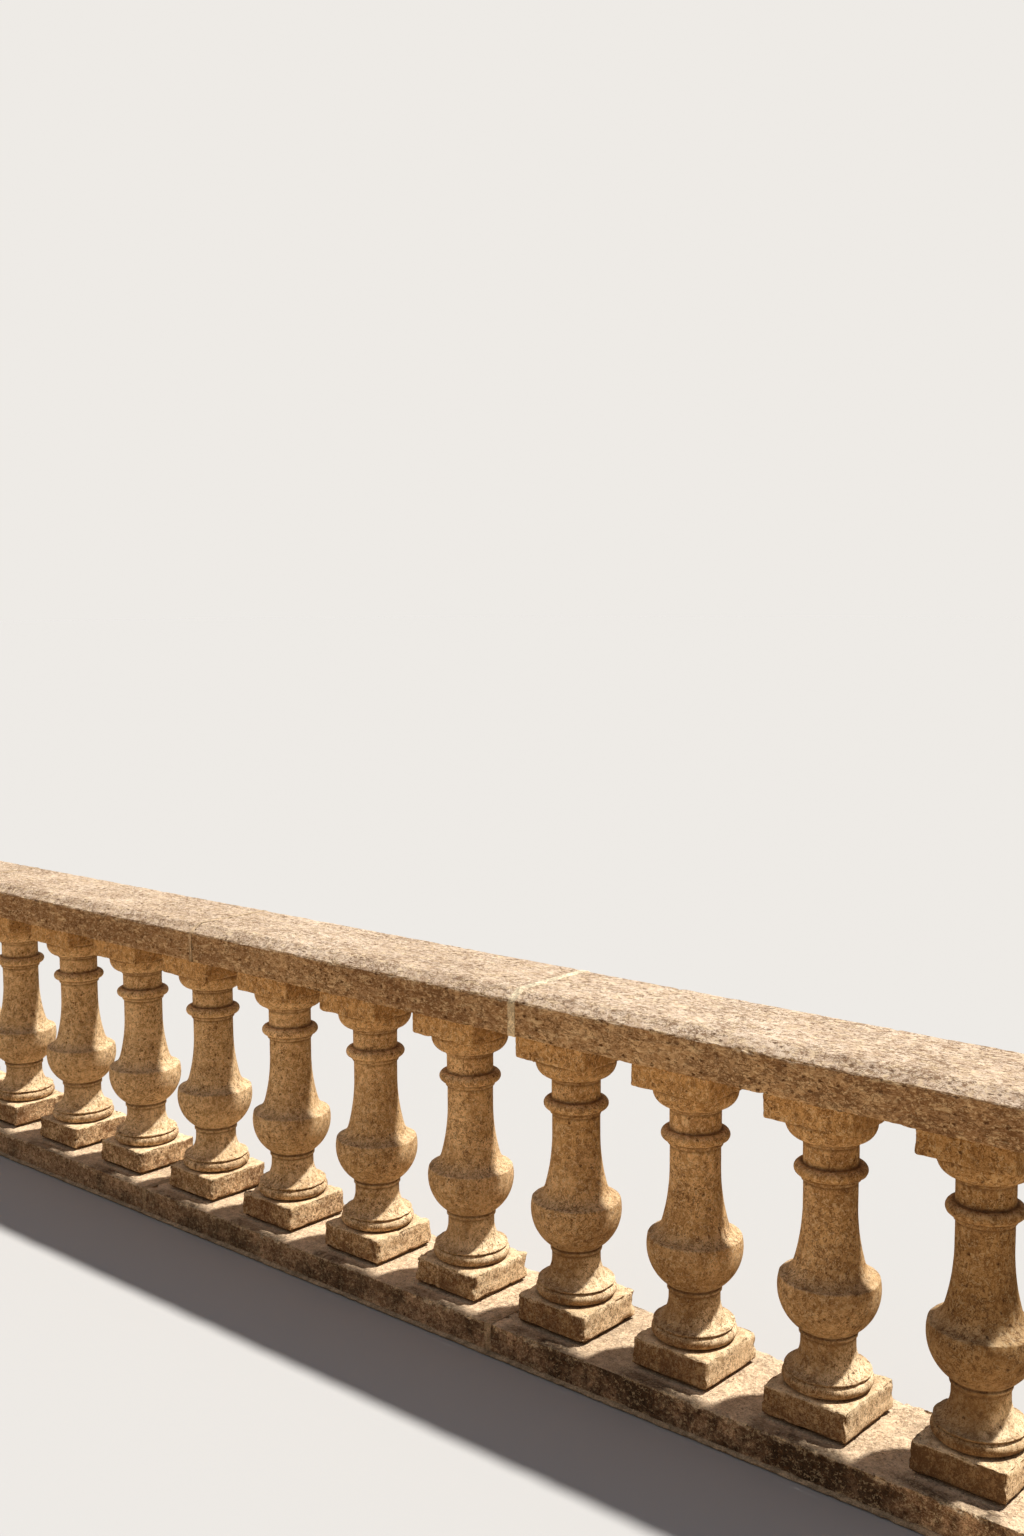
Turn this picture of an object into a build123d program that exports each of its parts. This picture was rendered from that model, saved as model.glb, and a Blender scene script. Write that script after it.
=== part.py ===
from build123d import *
import os

# Stone balustrade in three bays: a low kerb of base stones, a row of turned
# balusters bedded on it, and a chamfered coping rail laid over them.
# X runs along the row, Y across it with the terrace at -Y, Z up from the ground.
# The origin is under the middle of the whole run. All sizes are in millimetres.

os.makedirs("parts", exist_ok=True)

# Row
bay_count = 3
balusters_in_bay = 4
pitch = 330.0
first_baluster_at = 145.0

# Base stones of the kerb
base_width = 300.0
base_height = 76.0
base_joint_width = 10.0
base_joint_recess = 3.0

# Mortar strip along the foot of the kerb, on the terrace side only
foot_strip_height = 12.0
foot_strip_depth = 12.0
foot_strip_lip = 3.0

# Mortar beds under the plinths and over the abaci
plinth_bed = 5.0
abacus_bed = 3.0
bed_recess = 4.0

# Plinth and abacus of a baluster
plinth_side = 197.0
plinth_height = 62.0
plinth_wear = 5.0
abacus_side = 202.0
abacus_height = 62.0

# Foot of the turned part: a thick round, a thin rim and a hollow flare
round_radius = 94.0
round_height = 29.0
rim_radius = 90.0
rim_height = 6.0
flare_height = 50.0

# Low neck, the fillet on it and the groove under the belly
low_neck_radius = 57.0
low_neck_height = 19.0
low_fillet_radius = 60.5
low_fillet_height = 9.0
groove_height = 4.0

# Belly, from the groove up to its crisp shoulder
belly_foot_radius = 61.0
belly_radius = 105.5
belly_middle = 84.0
shoulder_radius = 102.5
belly_height = 109.0

# Shaft: a long hollow, a tight hollow down to the shoulder, straight at the top
shaft_radius = 56.0
shaft_height = 200.0
shaft_straight = 50.0
long_hollow_radius = 456.0
long_hollow_turn = 15.5

# Band round the neck, with a fillet under it
band_fillet_radius = 60.5
band_fillet_height = 10.0
band_radius = 75.5
band_height = 26.0
neck_radius = 57.0
neck_height = 43.0

# Echinus under the abacus
echinus_fillet_radius = 60.5
echinus_fillet_height = 8.0
echinus_foot_radius = 62.0
echinus_radius = 94.0
echinus_round = 36.0
echinus_rise = 6.0

# Coping rail, with its joints measured from the left end of the run
rail_width = 300.0
rail_face_height = 83.0
rail_chamfer_depth = 35.0
rail_chamfer_rise = 23.0
rail_joint_width = 7.0
rail_joint_recess = 1.0
rail_joint_places = [409.0, 1564.0, 2719.0]

# Places along, across and up
bay_length = balusters_in_bay * pitch
run_length = bay_count * bay_length
left_end = -run_length / 2
row_y = foot_strip_depth / 2
plinth_foot = base_height + plinth_bed

# Heights in a baluster, from its own foot
round_foot = plinth_height
rim_foot = round_foot + round_height
flare_foot = rim_foot + rim_height
low_neck_foot = flare_foot + flare_height
low_fillet_foot = low_neck_foot + low_neck_height
groove_foot = low_fillet_foot + low_fillet_height
belly_foot = groove_foot + groove_height
shoulder = belly_foot + belly_height
band_fillet_foot = shoulder + shaft_height
band_foot = band_fillet_foot + band_fillet_height
neck_foot = band_foot + band_height
echinus_fillet_foot = neck_foot + neck_height
echinus_foot = echinus_fillet_foot + echinus_fillet_height
echinus_edge = echinus_foot + echinus_round
abacus_foot = echinus_edge + echinus_rise
baluster_height = abacus_foot + abacus_height

abacus_top = plinth_foot + baluster_height
rail_foot = abacus_top + abacus_bed


def baluster_x(number):
    """Place along the row of a baluster, counted from 0 at the left end."""
    return left_end + first_baluster_at + number * pitch


def write(part, name):
    """Label a finished piece and write it as one STEP file."""
    part.label = name
    export_step(part, "parts/" + name + ".step")


# Baluster: one stone, turned between its square plinth and abacus
with BuildPart() as baluster:
    with BuildSketch(Plane.XZ):
        with BuildLine():
            round_centre = round_radius - round_height / 2
            Line((0, round_foot), (round_centre, round_foot))
            ThreePointArc(
                (round_centre, round_foot),
                (round_radius, round_foot + round_height / 2),
                (round_centre, rim_foot),
            )
            Polyline((round_centre, rim_foot), (rim_radius, rim_foot), (rim_radius, flare_foot))
            EllipticalCenterArc(
                (rim_radius, low_neck_foot),
                rim_radius - low_neck_radius,
                flare_height,
                start_angle=180,
                arc_size=90,
            )
            Polyline(
                (low_neck_radius, low_neck_foot),
                (low_neck_radius, low_fillet_foot),
                (low_fillet_radius, low_fillet_foot),
                (low_fillet_radius, groove_foot),
                (low_neck_radius, groove_foot),
                (low_neck_radius, belly_foot),
                (belly_foot_radius, belly_foot),
            )
            ThreePointArc(
                (belly_foot_radius, belly_foot),
                (belly_radius, belly_foot + belly_middle),
                (shoulder_radius, shoulder),
            )
            long_hollow = JernArc(
                start=(shaft_radius, band_fillet_foot - shaft_straight),
                tangent=(0, -1),
                radius=long_hollow_radius,
                arc_size=long_hollow_turn,
            )
            TangentArc(long_hollow @ 1, (shoulder_radius, shoulder), tangent=long_hollow % 1)
            band_centre = band_radius - band_height / 2
            Polyline(
                (shaft_radius, band_fillet_foot - shaft_straight),
                (shaft_radius, band_fillet_foot),
                (band_fillet_radius, band_fillet_foot),
                (band_fillet_radius, band_foot),
                (band_centre, band_foot),
            )
            ThreePointArc(
                (band_centre, band_foot),
                (band_radius, band_foot + band_height / 2),
                (band_centre, neck_foot),
            )
            Polyline(
                (band_centre, neck_foot),
                (neck_radius, neck_foot),
                (neck_radius, echinus_fillet_foot),
                (echinus_fillet_radius, echinus_fillet_foot),
                (echinus_fillet_radius, echinus_foot),
                (echinus_foot_radius, echinus_foot),
            )
            EllipticalCenterArc(
                (echinus_foot_radius, echinus_edge),
                echinus_radius - echinus_foot_radius,
                echinus_round,
                start_angle=270,
                arc_size=90,
            )
            Polyline(
                (echinus_radius, echinus_edge),
                (echinus_radius, abacus_foot),
                (0, abacus_foot),
                (0, round_foot),
            )
        make_face()
    revolve(axis=Axis.Z)
    with BuildSketch():
        RectangleRounded(plinth_side, plinth_side, plinth_wear)
    extrude(amount=plinth_height)
    with BuildSketch(Plane.XY.offset(abacus_foot)):
        Rectangle(abacus_side, abacus_side)
    extrude(amount=abacus_height)

for number in range(bay_count * balusters_in_bay):
    place = Location((baluster_x(number), row_y, plinth_foot))
    write(baluster.part.moved(place), "baluster_" + format(number + 1, "02d"))

# Bays of the kerb: one base stone, with the mortar at its foot and the beds on it
for bay in range(bay_count):
    bay_start = left_end + bay * bay_length
    bay_end = bay_start + bay_length
    stone_start = bay_start + (base_joint_width / 2 if bay > 0 else 0)
    stone_end = bay_end - (base_joint_width / 2 if bay < bay_count - 1 else 0)
    bay_places = [
        (baluster_x(bay * balusters_in_bay + step), row_y) for step in range(balusters_in_bay)
    ]

    with BuildPart() as base_stone:
        with BuildSketch(Plane.YZ.offset(stone_start)):
            with Locations((row_y, base_height / 2)):
                Rectangle(base_width, base_height)
        extrude(amount=stone_end - stone_start)
    write(base_stone.part, "base_stone_" + str(bay + 1))

    kerb_face = row_y - base_width / 2
    with BuildPart() as foot_strip:
        with BuildSketch(Plane.YZ.offset(bay_start)):
            with BuildLine():
                Polyline(
                    (kerb_face, foot_strip_height),
                    (kerb_face, 0),
                    (kerb_face - foot_strip_depth, 0),
                    (kerb_face - foot_strip_depth, foot_strip_lip),
                    close=True,
                )
            make_face()
        extrude(amount=bay_length)
    write(foot_strip.part, "foot_strip_" + str(bay + 1))

    with BuildPart() as plinth_beds:
        with BuildSketch(Plane.XY.offset(base_height)):
            with Locations(*bay_places):
                Rectangle(plinth_side - 2 * bed_recess, plinth_side - 2 * bed_recess)
        extrude(amount=plinth_bed)
    write(plinth_beds.part, "plinth_beds_" + str(bay + 1))

    with BuildPart() as abacus_beds:
        with BuildSketch(Plane.XY.offset(abacus_top)):
            with Locations(*bay_places):
                Rectangle(abacus_side - 2 * bed_recess, abacus_side - 2 * bed_recess)
        extrude(amount=abacus_bed)
    write(abacus_beds.part, "abacus_beds_" + str(bay + 1))

# Mortar in the upright joints between the base stones
for joint in range(1, bay_count):
    joint_start = left_end + joint * bay_length - base_joint_width / 2
    with BuildPart() as base_joint:
        with BuildSketch(Plane.YZ.offset(joint_start)):
            with Locations((row_y, (base_height - base_joint_recess) / 2)):
                Rectangle(base_width - 2 * base_joint_recess, base_height - base_joint_recess)
        extrude(amount=base_joint_width)
    write(base_joint.part, "base_joint_" + str(joint))


def rail_section(recess):
    """Half the outline of the coping rail, drawn on the terrace side of the row."""
    half = rail_width / 2 - recess
    top = rail_foot + rail_face_height + rail_chamfer_rise - recess
    chamfer_foot = rail_foot + rail_face_height - recess / 2
    return [
        (row_y, rail_foot + recess),
        (row_y - half, rail_foot + recess),
        (row_y - half, chamfer_foot),
        (row_y - half + rail_chamfer_depth, top),
        (row_y, top),
    ]


# Stones of the coping rail
rail_cuts = [0.0] + rail_joint_places + [run_length]
for stone in range(len(rail_cuts) - 1):
    stone_start = left_end + rail_cuts[stone] + (rail_joint_width / 2 if stone > 0 else 0)
    last_stone = stone == len(rail_cuts) - 2
    stone_end = left_end + rail_cuts[stone + 1] - (0 if last_stone else rail_joint_width / 2)
    with BuildPart() as rail_stone:
        with BuildSketch(Plane.YZ.offset(stone_start)):
            with BuildLine():
                Polyline(*rail_section(0))
                mirror(about=Plane.YZ.offset(row_y))
            make_face()
        extrude(amount=stone_end - stone_start)
    write(rail_stone.part, "rail_stone_" + str(stone + 1))

# Mortar in the joints of the coping rail
for joint, place in enumerate(rail_joint_places):
    with BuildPart() as rail_joint:
        with BuildSketch(Plane.YZ.offset(left_end + place - rail_joint_width / 2)):
            with BuildLine():
                Polyline(*rail_section(rail_joint_recess))
                mirror(about=Plane.YZ.offset(row_y))
            make_face()
        extrude(amount=rail_joint_width)
    write(rail_joint.part, "rail_joint_" + str(joint + 1))
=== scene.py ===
import functools
import math
from itertools import accumulate
from types import SimpleNamespace

import bpy
import numpy as np
from bpy.props import FloatProperty, FloatVectorProperty, IntProperty, PointerProperty
from mathutils import Matrix, Vector


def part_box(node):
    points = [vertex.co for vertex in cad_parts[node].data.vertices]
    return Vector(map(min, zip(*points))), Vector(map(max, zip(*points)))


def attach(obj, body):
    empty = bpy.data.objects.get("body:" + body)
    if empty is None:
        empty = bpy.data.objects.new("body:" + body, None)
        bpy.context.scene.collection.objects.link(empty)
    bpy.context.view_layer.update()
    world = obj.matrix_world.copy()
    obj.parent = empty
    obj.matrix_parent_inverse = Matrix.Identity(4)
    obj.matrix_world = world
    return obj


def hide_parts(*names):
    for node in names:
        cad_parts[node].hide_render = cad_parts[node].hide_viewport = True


bl_info = {
    "name": "Stone Balustrade",
    "version": (1, 0, 0),
    "blender": (4, 5, 0),
    "location": "View3D > Sidebar > Balustrade",
    "description": "Weathered stones and mortar of a turned balustrade, dressed round their plain solids",
    "category": "Object",
}

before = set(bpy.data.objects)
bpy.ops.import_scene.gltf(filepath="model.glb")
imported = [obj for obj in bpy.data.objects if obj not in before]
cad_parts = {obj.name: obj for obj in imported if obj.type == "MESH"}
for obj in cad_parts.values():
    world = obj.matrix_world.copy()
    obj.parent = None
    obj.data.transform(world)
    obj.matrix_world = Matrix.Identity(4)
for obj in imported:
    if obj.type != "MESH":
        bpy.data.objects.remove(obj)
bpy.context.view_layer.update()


def nodes_of(kind):
    """Names of the frame's nodes of one kind, in order."""
    return sorted(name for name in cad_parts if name.startswith(kind + "_"))


BALUSTERS = nodes_of("baluster")
BASE_STONES = nodes_of("base_stone")
BASE_JOINTS = nodes_of("base_joint")
FOOT_STRIPS = nodes_of("foot_strip")
PLINTH_BEDS = nodes_of("plinth_beds")
ABACUS_BEDS = nodes_of("abacus_beds")
RAIL_STONES = nodes_of("rail_stone")
RAIL_JOINTS = nodes_of("rail_joint")
BAY = len(BALUSTERS) // len(PLINTH_BEDS)
BODY = "root"


def size(label, text, default):
    """A length in metres, shown in the sidebar."""
    return FloatProperty(
        name=label, description=text, default=default, min=0.0, max=1.0, precision=4, unit="LENGTH"
    )


def colour(label, text, default):
    """A colour, shown in the sidebar."""
    return FloatVectorProperty(
        name=label, description=text, default=default, size=3, min=0.0, max=1.0, subtype="COLOR"
    )


class BALUSTRADE_PG_baluster(bpy.types.PropertyGroup):
    """Mouldings of a baluster, from its foot up."""

    plinth_side: size("Plinth side", "Side of the square plinth", 0.197)
    plinth_height: size("Plinth height", "Height of the plinth", 0.062)
    abacus_side: size("Abacus side", "Side of the square abacus", 0.202)
    abacus_height: size("Abacus height", "Height of the abacus", 0.062)
    round_radius: size("Round radius", "Widest radius of the round on the plinth", 0.094)
    round_height: size("Round height", "Height of the round", 0.029)
    rim_radius: size("Rim radius", "Radius of the thin rim over the round", 0.090)
    rim_height: size("Rim height", "Height of the rim", 0.006)
    flare_height: size("Flare height", "Height of the hollow flare over the rim", 0.050)
    low_neck_radius: size("Low neck radius", "Radius of the neck under the belly", 0.057)
    low_neck_height: size("Low neck height", "Height of the neck under the belly", 0.019)
    low_fillet_radius: size("Low fillet radius", "Radius of the fillet on the low neck", 0.0605)
    low_fillet_height: size("Low fillet height", "Height of the fillet on the low neck", 0.009)
    groove_height: size("Groove height", "Height of the groove under the belly", 0.004)
    belly_foot_radius: size("Belly foot radius", "Radius at the foot of the belly", 0.061)
    belly_radius: size("Belly radius", "Widest radius of the belly", 0.1055)
    belly_middle: size("Belly middle", "Height of the widest place over the belly's foot", 0.084)
    shoulder_radius: size("Shoulder radius", "Radius at the crisp shoulder", 0.1025)
    belly_height: size("Belly height", "Height of the belly up to its shoulder", 0.109)
    shaft_radius: size("Shaft radius", "Radius of the shaft at its top", 0.056)
    shaft_height: size("Shaft height", "Height of the shaft over the shoulder", 0.200)
    shaft_straight: size("Straight shaft", "Height of the straight top of the shaft", 0.050)
    long_hollow_radius: size("Long hollow", "Radius of the long hollow of the shaft", 0.456)
    long_hollow_turn: FloatProperty(
        name="Long hollow turn", description="Turn of the long hollow, in degrees",
        default=15.5, min=0.0, max=90.0,
    )
    band_fillet_radius: size("Band fillet radius", "Radius of the fillet under the band", 0.0605)
    band_fillet_height: size("Band fillet height", "Height of the fillet under the band", 0.010)
    band_radius: size("Band radius", "Radius of the band round the neck", 0.0755)
    band_height: size("Band height", "Height of the band", 0.026)
    neck_radius: size("Neck radius", "Radius of the neck over the band", 0.057)
    neck_height: size("Neck height", "Height of the neck", 0.043)
    echinus_fillet_radius: size("Echinus fillet radius", "Radius of the fillet under the echinus", 0.0605)
    echinus_fillet_height: size("Echinus fillet height", "Height of the fillet under it", 0.008)
    echinus_foot_radius: size("Echinus foot radius", "Radius at the foot of the echinus", 0.062)
    echinus_radius: size("Echinus radius", "Widest radius of the echinus", 0.094)
    echinus_round: size("Echinus round", "Height of the echinus' rounded part", 0.036)
    echinus_rise: size("Echinus rise", "Height of its straight edge", 0.006)
    segments: IntProperty(
        name="Segments", description="Faces round a baluster, a multiple of eight", default=96, min=16
    )


class BALUSTRADE_PG_wear(bpy.types.PropertyGroup):
    """How far time has worn the stones."""

    plinth: size("Plinth wear", "Usual radius of the worn arrises of a plinth", 0.0075)
    plinth_foot: size("Plinth foot wear", "Usual radius of the arrises under a plinth", 0.0030)
    abacus: size("Abacus wear", "Usual radius of the worn arrises of an abacus", 0.0040)
    moulding: size("Moulding wear", "Usual radius of the worn arrises of the mouldings", 0.0020)
    kerb: size("Kerb wear", "Usual radius of the worn arrises of the kerb", 0.0064)
    kerb_foot: size("Kerb foot wear", "Usual radius of the arrises at the kerb's foot", 0.0020)
    rail: size("Rail wear", "Usual radius of the worn arrises of the coping rail", 0.0045)
    seed: IntProperty(name="Seed", description="Changes where wear and chips fall", default=4, min=0)


class BALUSTRADE_PG_colours(bpy.types.PropertyGroup):
    """Colours of the stones and of the mortar, in linear light."""

    baluster: colour("Baluster stone", "Usual colour of the turned stones", (0.79, 0.54, 0.298))
    # Also laid over the tops of the balusters as painted shade under the rail
    baluster_deep_and_rail_shade: colour("Baluster stone, deep", "Browner beds of the turned stones", (0.56, 0.352, 0.165))
    rail: colour("Rail stone", "Usual colour of the coping rail", (0.55, 0.374, 0.214))
    rail_deep: colour("Rail stone, deep", "Browner beds of the coping rail", (0.32, 0.195, 0.105))
    # On the balusters this is also laid low on the faces turned to the key light, as painted sunlight
    bleached: colour("Bleached stone", "Stone that the sun has bleached", (0.90, 0.70, 0.46))
    rail_top: colour("Rail stone, bleached", "Top of the rail", (0.70, 0.575, 0.460))
    kerb: colour("Kerb stone", "Usual colour of the kerb", (0.55, 0.370, 0.235))
    kerb_deep: colour("Kerb stone, deep", "Stained parts of the kerb", (0.105, 0.068, 0.040))
    kerb_top: colour("Kerb stone, bleached", "Top of the kerb", (0.92, 0.71, 0.50))
    speck: colour("Specks", "Dark brown specks", (0.19, 0.10, 0.048))
    pit: colour("Pits", "Shade in the open pits", (0.085, 0.036, 0.014))
    # Also laid over the left end of the row as painted light, and on worn arrises, on the kerb partly as a
    # painted highlight
    fleck_and_painted_light: colour("Flecks", "Pale grains of shell and spar", (0.88, 0.70, 0.46))
    # Laid in hollows and as rising damp on faces out of the painted sunlight, so partly painted shade; also
    # the darker sand of the mortar
    grime_and_painted_shade: colour("Grime", "Dirt in the hollows", (0.16, 0.088, 0.042))
    joint: colour("Rail pointing", "Pale mortar in the newest joint of the rail", (0.94, 0.81, 0.60))
    old_joint: colour("Old rail pointing", "Weathered mortar in its other joints", (0.66, 0.50, 0.34))
    kerb_joint: colour("Kerb pointing", "Mortar in the joints of the kerb", (0.62, 0.46, 0.30))
    bed: colour("Bed mortar", "Dark mortar under the plinths", (0.17, 0.105, 0.055))
    foot: colour("Foot mortar", "Sandy mortar along the kerb's foot", (0.62, 0.47, 0.31))


class BALUSTRADE_PG_settings(bpy.types.PropertyGroup):
    """All that the sidebar shows."""

    baluster: PointerProperty(type=BALUSTRADE_PG_baluster)
    wear: PointerProperty(type=BALUSTRADE_PG_wear)
    colours: PointerProperty(type=BALUSTRADE_PG_colours)


def settings():
    """What the sidebar shows, as it stands."""
    return bpy.context.scene.balustrade


class Graph:
    """A node tree written as calls: each one adds a node and gives back the socket it puts out."""

    def __init__(self, tree):
        self.tree = tree

    def add(self, kind, inputs=None, output=0, **settings):
        """Add a node, set it, feed its inputs with values or sockets, and give back one output."""
        node = self.tree.nodes.new(kind)
        for name, value in settings.items():
            setattr(node, name, value)
        for key, value in (inputs or {}).items():
            self.feed(node.inputs[key], value)
        return node.outputs[output]

    def feed(self, socket, value):
        """Link a socket to a socket, or set its value."""
        if isinstance(value, bpy.types.NodeSocket):
            self.tree.links.new(value, socket)
        elif socket.type == "RGBA":
            socket.default_value = (*value, 1.0)
        else:
            socket.default_value = value

    def maths(self, operation, *values, clamp=False):
        """One sum on numbers."""
        return self.add("ShaderNodeMath", dict(enumerate(values)), operation=operation, use_clamp=clamp)

    def plus(self, first, *others):
        """Numbers added up."""
        return functools.reduce(functools.partial(self.maths, "ADD"), others, first)

    def times(self, first, *others):
        """Numbers multiplied."""
        return functools.reduce(functools.partial(self.maths, "MULTIPLY"), others, first)

    def minus(self, first, second, clamp=False):
        """The first number less the second."""
        return self.maths("SUBTRACT", first, second, clamp=clamp)

    def vectors(self, operation, *values, output=0):
        """One sum on vectors."""
        return self.add("ShaderNodeVectorMath", dict(enumerate(values)), output, operation=operation)

    def scaled(self, vector, factor):
        """A vector times a number."""
        return self.add("ShaderNodeVectorMath", {0: vector, "Scale": factor}, operation="SCALE")

    def joined(self, *parts):
        """A vector of its parts."""
        return self.add("ShaderNodeCombineXYZ", dict(enumerate(parts)))

    def parts(self, vector):
        """The X, Y and Z of a vector, by their names."""
        return self.add("ShaderNodeSeparateXYZ", {0: vector}).node.outputs

    def ramp(self, value, low, high, start=0.0, end=1.0):
        """A smooth step from start, where the value is low, to end, where it is high."""
        places = {"Value": value, "From Min": low, "From Max": high, "To Min": start, "To Max": end}
        return self.add("ShaderNodeMapRange", places, interpolation_type="SMOOTHSTEP")

    def moved(self, vector, seed):
        """Places shifted by a seed, so that two noises of one scale don't match."""
        shift = (1.37, 0.79, 0.93)
        if isinstance(seed, bpy.types.NodeSocket):
            return self.vectors("ADD", vector, self.vectors("MULTIPLY", shift, seed))
        return self.vectors("ADD", vector, tuple(seed * part for part in shift))

    def noise(self, vector, scale, detail=2.0, roughness=0.5, seed=0.0, distortion=0.0):
        """Cloudy noise from 0 to 1."""
        return self.add("ShaderNodeTexNoise", {
            "Vector": self.moved(vector, seed), "Scale": scale, "Detail": detail,
            "Roughness": roughness, "Distortion": distortion,
        })

    def cells(self, vector, scale, seed=0.0):
        """Distance to the nearest of many scattered points, and a number of each point's own."""
        near = self.add("ShaderNodeTexVoronoi", {"Vector": self.moved(vector, seed), "Scale": scale})
        return near, self.parts(near.node.outputs["Color"])["X"]

    def blend(self, share_of_second, first, second):
        """A colour between two."""
        return self.add("ShaderNodeMix", {0: share_of_second, 6: first, 7: second}, 2, data_type="RGBA")

    def carried(self, name):
        """A number that the mesh carries at each point."""
        if self.tree.bl_idname == "GeometryNodeTree":
            return self.add("GeometryNodeInputNamedAttribute", {"Name": name}, data_type="FLOAT")
        return self.add("ShaderNodeAttribute", output="Fac", attribute_name=name, attribute_type="GEOMETRY")

    def group(self, tree, inputs):
        """Put a node group to work, and give back its outputs by their names."""
        kind = self.tree.bl_idname.replace("Tree", "Group")
        return self.add(kind, inputs, node_tree=tree).node.outputs


SOCKETS = {float: "NodeSocketFloat", int: "NodeSocketInt", tuple: "NodeSocketVector"}


def node_group(name, inputs, *results):
    """Turn a function that fills a node group into one that makes it once, and gives it back.

    Each input comes with its default, or with none where its own name says what it is. A group that
    names no results works on geometry, and the others give numbers.
    """
    kind, result = ("Shader", "NodeSocketFloat") if results else ("Geometry", "NodeSocketGeometry")

    def wrap(fill):
        @functools.wraps(fill)
        def made():
            tree = bpy.data.node_groups.get(name)
            if tree:
                return tree
            tree = bpy.data.node_groups.new(name, kind + "NodeTree")
            for label, default in inputs.items():
                socket_type = SOCKETS.get(type(default), "NodeSocket" + label)
                socket = tree.interface.new_socket(label, in_out="INPUT", socket_type=socket_type)
                if default is not None:
                    socket.default_value = default
            for label in results or ("Geometry",):
                tree.interface.new_socket(label, in_out="OUTPUT", socket_type=result)
            source = tree.nodes.new("NodeGroupInput").outputs
            sink = tree.nodes.new("NodeGroupOutput").inputs
            fill(Graph(tree), source, sink)
            return tree

        return made

    return wrap


WEATHERING = {
    "Corner wear": 1.0, "Chip depth": 0.8, "Chips": 0.5, "Relief": 0.001, "Bedding": 0.0,
    "Grit": 0.0003, "Pit depth": 0.0015, "Pits": 0.4, "Lowest": -1.0, "Seed": 0.0,
}
# The first eight of these for each kind of piece, and how far its seeds stand from the others'
WEATHERED = {
    "baluster": (1.5, 0.8, 0.9, 0.0008, 0.0, 0.0004, 0.0016, 0.30, 0),
    "kerb": (0.35, 1.5, 1.0, 0.0016, 0.0010, 0.0010, 0.0028, 0.50, 0),
    "rail": (0.5, 1.2, 0.8, 0.0012, 0.0010, 0.0006, 0.0022, 0.45, 0),
    "pointing": (0.2, 0.5, 0.7, 0.0007, 0.0, 0.0004, 0.0010, 0.2, 20),
    "strip": (0.0, 1.0, 1.0, 0.0032, 0.0010, 0.0012, 0.0020, 0.5, 30),
    "bed": (1.0, 1.0, 1.0, 0.0020, 0.0, 0.0008, 0.0010, 0.4, 40),
}
# No point of a piece goes lower than this, and one that has lost this much counts as fully worn
LOWEST_POINT = 0.0003
FULLY_WORN = 1 / 450


def weathering(kind, number):
    """The weathering inputs of one piece."""
    *values, shift = WEATHERED[kind]
    seed = float(settings().wear.seed + number + shift)
    return {**dict(zip(WEATHERING, values)), "Lowest": LOWEST_POINT, "Seed": seed}


def store(graph, geometry, name, value):
    """Write a number on each point of the mesh."""
    inputs = {"Geometry": geometry, "Name": name, "Value": value}
    return graph.add("GeometryNodeStoreNamedAttribute", inputs, data_type="FLOAT", domain="POINT")


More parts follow.
